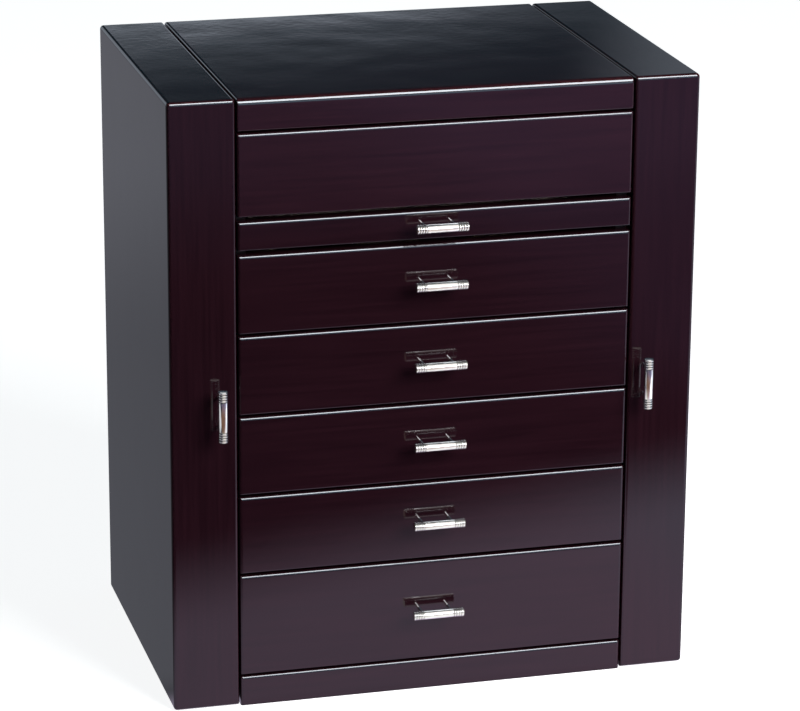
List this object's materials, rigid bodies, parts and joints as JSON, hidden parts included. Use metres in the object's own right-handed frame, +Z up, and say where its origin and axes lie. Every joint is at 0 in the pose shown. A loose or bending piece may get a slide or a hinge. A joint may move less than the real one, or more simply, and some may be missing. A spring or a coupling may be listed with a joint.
{
  "type": "jewelry armoire",
  "caption": "Tabletop jewelry armoire: a lift-up mirror lid over a lined tray, a stack of drawers with bar pulls, and full-height side wings that swing out.",
  "frame": {"origin": "on the floor, centred under the whole object's bounding box", "axes": "+Z up, +X to the right seen from the front, +Y to the back; the drawers open towards -Y"},
  "size_m": [0.445, 0.3186, 0.52],
  "materials": {
    "lacquered_wood": "dark wine-brown gloss lacquer over fine grain",
    "carcass_board": "satin dark stain",
    "velvet": "short-pile velvet",
    "polished_metal": "polished",
    "magnet_steel": "plated",
    "mirror_glass": "silvered"
  },
  "bodies": {
    "case": {"case_wall_left": "carcass_board", "case_wall_right": "carcass_board", "case_back": "carcass_board", "case_floor": "carcass_board", "plinth": "lacquered_wood", "fascia": "lacquered_wood", "tray_floor": "carcass_board", "tray_dividers": "velvet", "tray_ring_rolls": "velvet", "lid_hinge_fixed_left": "polished_metal", "lid_hinge_fixed_right": "polished_metal", "wing_left_hinge_fixed": "polished_metal", "wing_right_hinge_fixed": "polished_metal", "wing_magnet_left": "magnet_steel", "wing_magnet_right": "magnet_steel"},
    "lid": {"lid_panel": "lacquered_wood", "lid_mirror": "mirror_glass", "mirror_frame": "lacquered_wood", "lid_hinge_leaf_left": "polished_metal", "lid_hinge_leaf_right": "polished_metal"},
    "drawer_1": {"drawer_1_front": "lacquered_wood", "drawer_1_box": "carcass_board", "drawer_1_insert": "velvet", "drawer_1_pull": "polished_metal"},
    "drawer_2": {"drawer_2_front": "lacquered_wood", "drawer_2_box": "carcass_board", "drawer_2_insert": "velvet", "drawer_2_pull": "polished_metal"},
    "drawer_3": {"drawer_3_front": "lacquered_wood", "drawer_3_box": "carcass_board", "drawer_3_insert": "velvet", "drawer_3_pull": "polished_metal"},
    "drawer_4": {"drawer_4_front": "lacquered_wood", "drawer_4_box": "carcass_board", "drawer_4_insert": "velvet", "drawer_4_pull": "polished_metal"},
    "drawer_5": {"drawer_5_front": "lacquered_wood", "drawer_5_box": "carcass_board", "drawer_5_insert": "velvet", "drawer_5_pull": "polished_metal"},
    "drawer_6": {"drawer_6_front": "lacquered_wood", "drawer_6_box": "carcass_board", "drawer_6_insert": "velvet", "drawer_6_pull": "polished_metal"},
    "wing_left": {"wing_left_side_panel": "lacquered_wood", "wing_left_front_panel": "lacquered_wood", "wing_left_frame": "lacquered_wood", "wing_left_lining": "velvet", "wing_left_hook_rail": "polished_metal", "wing_left_pocket": "velvet", "wing_left_pull": "polished_metal", "wing_left_hinge_leaf": "polished_metal"},
    "wing_right": {"wing_right_side_panel": "lacquered_wood", "wing_right_front_panel": "lacquered_wood", "wing_right_frame": "lacquered_wood", "wing_right_lining": "velvet", "wing_right_hook_rail": "polished_metal", "wing_right_pocket": "velvet", "wing_right_pull": "polished_metal", "wing_right_hinge_leaf": "polished_metal"}
  },
  "joints": [
    {"name": "lid_hinge", "type": "hinge", "parent": "case", "child": "lid", "pos_m": [0, 0.15625, 0.49235], "axis": [-1, 0, 0], "range_deg": [0, 95]},
    {"name": "drawer_1_slide", "type": "slide", "parent": "case", "child": "drawer_1", "axis": [0, -1, 0], "range_m": [0, 0.2]},
    {"name": "drawer_2_slide", "type": "slide", "parent": "case", "child": "drawer_2", "axis": [0, -1, 0], "range_m": [0, 0.2]},
    {"name": "drawer_3_slide", "type": "slide", "parent": "case", "child": "drawer_3", "axis": [0, -1, 0], "range_m": [0, 0.2]},
    {"name": "drawer_4_slide", "type": "slide", "parent": "case", "child": "drawer_4", "axis": [0, -1, 0], "range_m": [0, 0.2]},
    {"name": "drawer_5_slide", "type": "slide", "parent": "case", "child": "drawer_5", "axis": [0, -1, 0], "range_m": [0, 0.2]},
    {"name": "drawer_6_slide", "type": "slide", "parent": "case", "child": "drawer_6", "axis": [0, -1, 0], "range_m": [0, 0.2]},
    {"name": "wing_left_hinge", "type": "hinge", "parent": "case", "child": "wing_left", "pos_m": [-0.16625, 0.15625, 0], "axis": [0, 0, -1], "range_deg": [0, 90]},
    {"name": "wing_right_hinge", "type": "hinge", "parent": "case", "child": "wing_right", "pos_m": [0.16625, 0.15625, 0], "axis": [0, 0, 1], "range_deg": [0, 90]}
  ]
}
